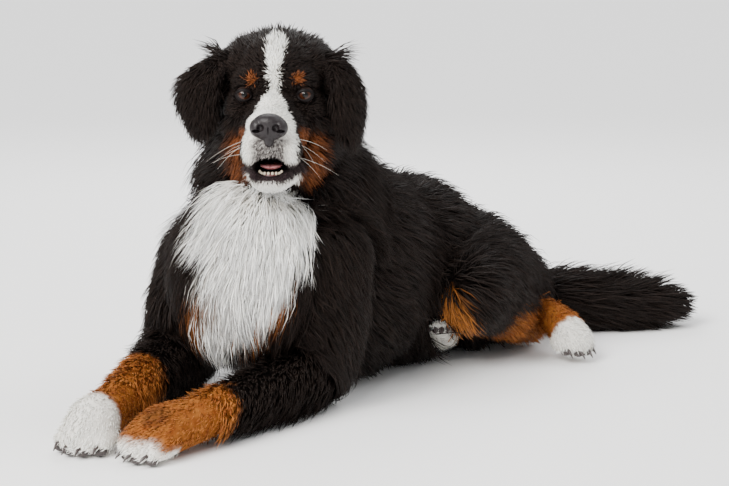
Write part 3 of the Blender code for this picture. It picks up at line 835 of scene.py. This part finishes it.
# Every surface: patches (how many to a metre, change of tone) of the coat's own colours, grain or cells
# (how many to a metre, height). Each note gives the size in mm, the real one unless it says coarser.
surfaces = {
    # Skin under the coat: dull hide in the hair's colours, seen between tufts, 17 mm patches, 2.4 mm grain
    "skinUnderCoat": {"patches": (60, 0.12), "grain": (420, 0.0006),
                      "shader": {"Roughness": 0.9, "Specular IOR Level": 0.05}},
    # Long dog hair: soft, with a faint sheen along each lock, and paler and darker patches of 29 mm
    "longCoat": {"patches": (35, 0.16), "shader": {"Roughness": 0.50, "Specular IOR Level": 0.10}},
    # Wet brown eye: a tear film that gives one sharp catch light, over flecks of 1.1 mm, coarser than real
    "wetEye": {"patches": (900, 0.05), "shader": {"Roughness": 0.3, "Specular IOR Level": 0.05,
                                                  "Coat Weight": 0.5, "Coat Roughness": 0.03}},
    # Moist nose leather: nearly black, in 1.1 mm pebbles that break up its shine
    "noseLeather": {"colour": "#1a1517", "cells": (900, 0.0003),
                    "shader": {"Roughness": 0.42, "Specular IOR Level": 0.3}},
    # Bare skin of the eyelids: black and finely wrinkled, 1.4 mm, which frames the eye
    "lidSkin": {"colour": "#0d0808", "grain": (700, 0.0003),
                "shader": {"Roughness": 0.55, "Specular IOR Level": 0.12}},
    # Tongue: wet pink flesh with 0.7 mm bumps, which lets a little light through
    "tongueFlesh": {"colour": "#c07a7c", "grain": (1500, 0.0004),
                    "shader": {"Roughness": 0.4, "Subsurface Weight": 0.1}},
    # Gum: dark, wet and uneven over 1.7 mm, behind the teeth
    "gumFlesh": {"colour": "#5a3436", "grain": (600, 0.0003), "shader": {"Roughness": 0.35}},
    # Tooth enamel: ivory, satin, with soft 3.3 mm waves
    "toothEnamel": {"colour": "#d6cab3", "grain": (300, 0.0002), "shader": {"Roughness": 0.3}},
    # Whisker hair: pale and stiff, with a slight gloss, 1.3 mm grain
    "whiskerHair": {"colour": "#d8d2c8", "grain": (800, 0.0001), "shader": {"Roughness": 0.4}},
    # Claw horn: dark grey and a little glossy, worn in 2 mm marks
    "clawHorn": {"colour": "#3a3231", "grain": (500, 0.0003), "shader": {"Roughness": 0.35}},
    # Pad leather: dull, thick and pebbled in 1.4 mm cells
    "padLeather": {"colour": "#3c3534", "cells": (700, 0.0006), "shader": {"Roughness": 0.65}},
    # Studio floor: matt paper
    "paleFloor": {"colour": "#fafafa", "shader": {"Roughness": 0.9}},
}


def addNode(tree, kind, settings=(), links=()):
    # Settings in small letters are the node's own, the others and the links are its inputs
    node = tree.nodes.new(kind)
    for key, value in dict(settings).items():
        if key.islower():
            setattr(node, key, value)
        else:
            node.inputs[key].default_value = value
    for key, output in dict(links).items():
        tree.links.new(output, node.inputs[key])
    return node


def makeSurface(name):
    facts = surfaces[name]
    surface = bpy.data.materials.new(name)
    surface.use_nodes = True
    tree = surface.node_tree
    shader = tree.nodes["Principled BSDF"]
    for key, value in facts["shader"].items():
        shader.inputs[key].default_value = value
    if "colour" in facts:
        shader.inputs["Base Color"].default_value = (*linear(facts["colour"]), 1)
    if "patches" in facts:
        scale, change = facts["patches"]
        place = addNode(tree, "ShaderNodeTexCoord")
        own = addNode(tree, "ShaderNodeAttribute", {"attribute_name": "coatColour"})
        noise = addNode(tree, "ShaderNodeTexNoise", {"Scale": scale}, {"Vector": place.outputs["Object"]})
        shade = addNode(tree, "ShaderNodeMapRange", {"To Min": 1 - change, "To Max": 1 + change},
                        {"Value": noise.outputs[0]})
        tint = addNode(tree, "ShaderNodeMix", {"data_type": "RGBA", "blend_type": "MULTIPLY", "Factor": 1},
                       {"A": own.outputs["Color"], "B": shade.outputs["Result"]})
        tree.links.new(tint.outputs["Result"], shader.inputs["Base Color"])
    for pattern, kind, strength in (("grain", "Noise", 0.5), ("cells", "Voronoi", 0.6)):
        if pattern in facts:
            scale, height = facts[pattern]
            place = addNode(tree, "ShaderNodeTexCoord")
            texture = addNode(tree, "ShaderNodeTex" + kind, {"Scale": scale},
                              {"Vector": place.outputs["Object"]})
            bump = addNode(tree, "ShaderNodeBump", {"Strength": strength, "Distance": height},
                           {"Height": texture.outputs[0]})
            tree.links.new(bump.outputs["Normal"], shader.inputs["Normal"])
    return surface


ready = {name: makeSurface(name) for name in surfaces}


def dressed(thing, surface):
    thing.data.materials.clear()
    thing.data.materials.append(ready[surface])
    return thing


# Camera at the photograph's angle
cameraSettings = {"place": (1.7312, -1.9722, 0.716), "tilt": 79.8, "turn": 38.0, "lens": 84.64}


def makeCamera():
    data = bpy.data.cameras.new("camera")
    data.lens = cameraSettings["lens"]
    data.sensor_width = 36
    camera = linked("camera", data)
    camera.location = Vector(cameraSettings["place"]) + shift
    camera.rotation_euler = (math.radians(cameraSettings["tilt"]), 0, math.radians(cameraSettings["turn"]))
    bpy.context.scene.camera = camera


# Soft studio light: place, size, power, colour; suns: tilts about X and Y in degrees, spread, strength
lights = {
    "key": ((0.4, -3.0, 2.4), 1.6, 110, "#fffaf2"),
    "rim": ((-1.6, 1.8, 2.2), 1.6, 45, "#ffffff"),
    "catch": ((1.15, -2.3, 1.6), 0.20, 14, "#ffffff"),
}
lightsAim = (0, -0.1, 0.25)
suns = {"front": (44, -12, 35, 3.6), "back": (-35, 30, 40, 1.1)}
roomLight = 0.8


def makeLights():
    for name, (place, size, power, colour) in lights.items():
        data = bpy.data.lights.new(name, "AREA")
        data.size = size
        data.energy = power
        data.color = linear(colour)
        lamp = linked(name, data)
        lamp.location = place
        lamp.rotation_euler = (Vector(lightsAim) - Vector(place)).to_track_quat("-Z", "Y").to_euler()
    for name, (tiltX, tiltY, spread, strength) in suns.items():
        data = bpy.data.lights.new(name, "SUN")
        data.angle = math.radians(spread)
        data.energy = strength
        linked(name, data).rotation_euler = (math.radians(tiltX), math.radians(tiltY), 0)
    world = bpy.data.worlds.new("studio")
    world.use_nodes = True
    background = world.node_tree.nodes["Background"]
    background.inputs["Color"].default_value = (1, 1, 1, 1)
    background.inputs["Strength"].default_value = roomLight
    bpy.context.scene.world = world


def makeFloor():
    floor = meshFrom("floor", [(-60, -60, 0), (60, -60, 0), (60, 60, 0), (-60, 60, 0)], [(0, 1, 2, 3)])
    floor.data.materials.append(ready["paleFloor"])


# Eyes: colours from the white, which hardly shows, to the pupil, streaks in the iris, its dark edge
eye = {"white": "#2a201d", "iris": "#3a1d10", "edge": "#160b08", "pupil": "#040303", "streaks": 23,
       "edgeHalf": 0.0007}


def makeEye(side):
    points, faces = unitBall(40, 40)
    points = np.roll(points, 1, axis=1) * head["eyeRadius"]        # its pole looks along X
    centre = fromHead((0, head["eyeSide"] * side, 0))
    gaze = np.array(cameraSettings["place"]) - centre
    turn = np.array(Vector(gaze).to_track_quat("X", "Z").to_matrix())
    away = np.hypot(points[:, 1], points[:, 2])
    front = points[:, 0] > 0
    tone = np.tile(linear(eye["white"]), (len(points), 1))
    iris = front & (away < head["irisRadius"])
    streak = 0.75 + 0.25 * np.sin(np.arctan2(points[:, 2], points[:, 1]) * eye["streaks"])
    tone[iris] = linear(eye["iris"]) * streak[iris][:, None]
    tone[front & (np.abs(away - head["irisRadius"]) < eye["edgeHalf"])] = linear(eye["edge"])
    tone[front & (away < head["pupilRadius"])] = linear(eye["pupil"])
    thing = meshFrom("leftEyeball" if side > 0 else "rightEyeball", points @ turn.T + centre, faces)
    colourAttribute(thing.data, tone)
    return dressed(thing, "wetEye")


# Lids: points round the opening and round the rim, shares of its height above and below the middle, slant,
# the rim's distance out from the opening and over the eyeball, each with its half width
lids = {"around": 56, "section": 12, "above": 0.70, "below": 0.95, "slant": 0.0008,
        "away": (0.0018, 0.0026), "over": (0.0003, 0.0013)}


def makeLids(side):
    # A soft rim round the almond opening, lying on the eyeball
    around, section = lids["around"], lids["section"]
    radius = head["eyeRadius"]
    points = []
    for i in range(around):
        turn = 2 * math.pi * i / around
        across = head["lidWidth"] * math.cos(turn)
        tall = head["lidHeight"] * math.sin(turn) * lids["above" if math.sin(turn) > 0 else "below"]
        tall += lids["slant"] * math.cos(turn)
        depth = math.sqrt(max(radius ** 2 - across ** 2 - tall ** 2, 1e-8))
        centre = np.array((depth, across, tall))
        out = centre / np.linalg.norm(centre)
        away = np.array((0, math.cos(turn), math.sin(turn)))
        away -= out * (away @ out)
        away /= np.linalg.norm(away)
        for j in range(section):
            spin = 2 * math.pi * j / section
            points.append(centre + away * (lids["away"][0] + lids["away"][1] * math.cos(spin))
                          + out * (lids["over"][0] + lids["over"][1] * math.sin(spin)))
    faces = []
    for i in range(around):
        for j in range(section):
            a, b = i * section, (i + 1) % around * section
            k = (j + 1) % section
            faces.append((a + j, b + j, b + k, a + k))
    points = np.array(points)
    points[:, 1] = points[:, 1] * side + head["eyeSide"] * side
    thing = meshFrom("leftLids" if side > 0 else "rightLids", fromHead(points), faces)
    faceOutwards(thing)
    return dressed(thing, "lidSkin")


# Nose in head axes: its middle, then each form's place from there with its half axes
nose = {
    "centre": (0.122, 0, -0.042),
    "bare": (0.022, 0.029, 0.022),          # no hair within these half axes
    "voxel": 0.0008,
    "forms": (((0, 0, 0), (0.017, 0.0255, 0.0195)),
              ((0.001, 0, 0.006), (0.0165, 0.020, 0.0125)),
              ((0.002, 0.0155, -0.001), (0.0145, 0.0115, 0.0135)),
              ((0.002, -0.0155, -0.001), (0.0145, 0.0115, 0.0135)),
              ((-0.001, 0, -0.017), (0.0125, 0.0075, 0.012))),
    "nostrils": (((0.0175, 0.0108, -0.0010), (0.0090, 0.0054, 0.0056)),
                 ((0.0135, 0.0172, -0.0055), (0.0085, 0.0062, 0.0024))),
    "groove": (((0.0165, 0, -0.014), (0.0045, 0.0013, 0.017)),),
}


def nosePart(name, forms):
    return headPart(name, [(np.array(nose["centre"]) + place, half) for place, half in forms])


def makeNose():
    thing = nosePart("nosePad", nose["forms"])
    remeshed(thing, nose["voxel"], 6)
    for side in (1, -1):
        for (ahead, aside, up), half in nose["nostrils"]:
            boolean(thing, nosePart("nostril", [((ahead, aside * side, up), half)]), "DIFFERENCE")
    boolean(thing, nosePart("groove", nose["groove"]), "DIFFERENCE")
    remeshed(thing, nose["voxel"], 2)
    return dressed(thing, "noseLeather")


# Tongue in head axes: depth and half width of its groove, and how far its edges rise
tongue = {"middle": (0.059, 0, -0.1000), "half": (0.036, 0.0175, 0.0052), "groove": 0.0016, "rise": 0.0020}


def makeTongue():
    points, faces = unitBall(40, 24)
    shape = points * np.array(tongue["half"]) + np.array(tongue["middle"])
    shape[:, 2] -= tongue["groove"] * np.exp(-(shape[:, 1] / tongue["groove"]) ** 2) * (points[:, 2] > 0)
    shape[:, 2] += tongue["rise"] * (points[:, 1] ** 2)
    return dressed(meshFrom("tongueTop", fromHead(shape), faces), "tongueFlesh")


# Lower front teeth on an arc in head axes, turns in degrees, a bigger tooth at each end, and their gum
teeth = {"count": 8, "first": -70, "apart": 20, "middle": (0.084, 0, -0.1090), "arc": (0.0110, 0.0165),
         "half": (0.0017, 0.0021, 0.0028), "endHalf": (0.0021, 0.0021, 0.0040), "endRise": 0.0012,
         "gum": ((0.078, 0, -0.1125), (0.020, 0.0195, 0.0048))}


def makeTeeth():
    x, y, z = teeth["middle"]
    forms = []
    for number in range(teeth["count"]):
        angle = math.radians(teeth["first"] + teeth["apart"] * number)
        isEnd = number in (0, teeth["count"] - 1)
        centre = (x + teeth["arc"][0] * math.cos(angle), y + teeth["arc"][1] * math.sin(angle),
                  z + (teeth["endRise"] if isEnd else 0))
        forms.append((centre, teeth["endHalf" if isEnd else "half"]))
    return [dressed(headPart("teeth", forms), "toothEnamel"),
            dressed(headPart("gum", [teeth["gum"]]), "gumFlesh")]


def tubeAlong(points, radii, sides):
    # A closed tapered tube along a path
    points = np.asarray(points)
    corners = []
    faces = []
    for i, (place, radius) in enumerate(zip(points, radii)):
        along = points[min(i + 1, len(points) - 1)] - points[max(i - 1, 0)]
        along = along / np.linalg.norm(along)
        side = np.cross(along, (0.1, 0.2, 0.97))
        side /= np.linalg.norm(side)
        up = np.cross(side, along)
        for j in range(sides):
            turn = 2 * math.pi * j / sides
            corners.append(place + (side * math.cos(turn) + up * math.sin(turn)) * radius)
    for i in range(len(points) - 1):
        for j in range(sides):
            k = (j + 1) % sides
            faces.append((i * sides + j, i * sides + k, (i + 1) * sides + k, (i + 1) * sides + j))
    faces.append(tuple(range(sides))[::-1])
    faces.append(tuple((len(points) - 1) * sides + j for j in range(sides)))
    return np.array(corners), faces


def joinedTubes(name, tubes):
    points, faces, start = [], [], 0
    for corners, sides in tubes:
        points.append(corners)
        faces += [tuple(start + v for v in face) for face in sides]
        start += len(corners)
    thing = meshFrom(name, np.concatenate(points), faces)
    faceOutwards(thing)
    return thing


# Whiskers in head axes: how many on each side, where they root, how far they droop, radius at the root
whiskers = {"seed": 7, "each": 5, "root": (0.085, 0.036, -0.060), "droop": 0.014, "radius": 0.00022}


def makeWhiskers():
    rng = np.random.default_rng(whiskers["seed"])
    x, y, z = whiskers["root"]
    parts = np.linspace(0, 1, 7)[:, None]
    tubes = []
    for side in (1, -1):
        for number in range(whiskers["each"]):
            start = np.array((x + rng.uniform(-0.02, 0.015), side * y, z - rng.uniform(0, 0.026)))
            aim = np.array((rng.uniform(-0.45, 0.25), side, rng.uniform(-0.75, 0.15)))
            aim /= np.linalg.norm(aim)
            length = rng.uniform(0.030, 0.062)
            path = start + aim * parts * length + np.array((0, 0, -whiskers["droop"])) * parts ** 2
            tubes.append(tubeAlong(fromHead(path), whiskers["radius"] * (1 - 0.75 * parts[:, 0]), 5))
    return dressed(joinedTubes("whiskers", tubes), "whiskerHair")


# Claws: how far ahead of the toe's middle they start, in radii, and how far under it, drop, least height
claws = {"ahead": 0.80, "under": 0.002, "length": 0.0135, "drop": 0.0085, "radius": 0.0031, "floor": 0.003}


def makeClaws():
    parts = np.linspace(0, 1, 7)[:, None]
    tubes = []
    for paw in paws:
        for middle, forward, back, radius, size in toesOf(paw):
            root = middle + forward * (radius * claws["ahead"] - back) + (0, 0, -claws["under"])
            drop = np.array((0, 0, -claws["drop"])) * parts ** 1.6
            path = root + forward * parts * claws["length"] + drop
            path[:, 2] = np.maximum(path[:, 2], claws["floor"])
            tubes.append(tubeAlong(path, claws["radius"] * (1 - 0.80 * parts[:, 0] ** 1.5), 10))
    return dressed(joinedTubes("claws", tubes), "clawHorn")


# Pads: how far ahead of and under the toe's middle, and half width, in radii; half thickness, least height
pads = {"place": (0.30, 0.62), "solePlace": (0.45, 0.45), "half": 0.62, "thick": 0.0062, "floor": 0.0085}


def makePads():
    # One under each toe; those of the hind foot that shows its sole lie further out
    balls = []
    for paw in paws:
        ahead, under = pads["solePlace" if paw == "leftHindFoot" else "place"]
        for middle, forward, back, radius, size in toesOf(paw):
            centre = middle + forward * (radius * ahead - back)
            centre[2] = max(centre[2] - radius * under, pads["floor"])
            balls.append((centre, (radius * pads["half"], radius * pads["half"], pads["thick"]), np.eye(3)))
    return dressed(joinedBalls("pads", balls), "padLeather")


def makeSkin():
    body = bodyForm()
    print("body form", len(body.data.polygons))
    form = headForm()
    print("head form", len(form.data.polygons))
    boolean(body, form, "UNION")
    body.name = "skin"
    points = pointsOf(body)
    points[:, 2] = np.maximum(points[:, 2], skin["floor"])
    body.data.vertices.foreach_set("co", points.ravel())
    colourAttribute(body.data, markings(points, regionsOf(points)[0]) * skin["tone"])
    print("skin", len(body.data.polygons))
    return dressed(body, "skinUnderCoat")


# The frame's nodes that have a piece of their own; the skin stands for all the others
standsFor = {"nosePad": "nose", "tongueTop": "tongue", "teeth": "lowerTeeth", "leftEyeball": "leftEye",
             "rightEyeball": "rightEye"}


def main():
    makeCamera()
    makeLights()
    makeFloor()
    dog = makeSkin()
    tufts = makeCoat(dog)
    others = [makeEye(1), makeEye(-1), makeLids(1), makeLids(-1), makeNose(), makeTongue(), *makeTeeth(),
              makeWhiskers(), makeClaws(), makePads()]
    print("face and feet made")
    triangles = 0
    for thing in [dog, *tufts, *others]:
        thing.data.transform(Matrix.Translation(shift))
        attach(thing, "root")
        thing.data.calc_loop_triangles()
        triangles += len(thing.data.loop_triangles)
    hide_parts(*[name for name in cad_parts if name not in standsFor.values()])
    for thing in others:
        if thing.name in standsFor:
            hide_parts(standsFor[thing.name])
    print("triangles", triangles)


main()
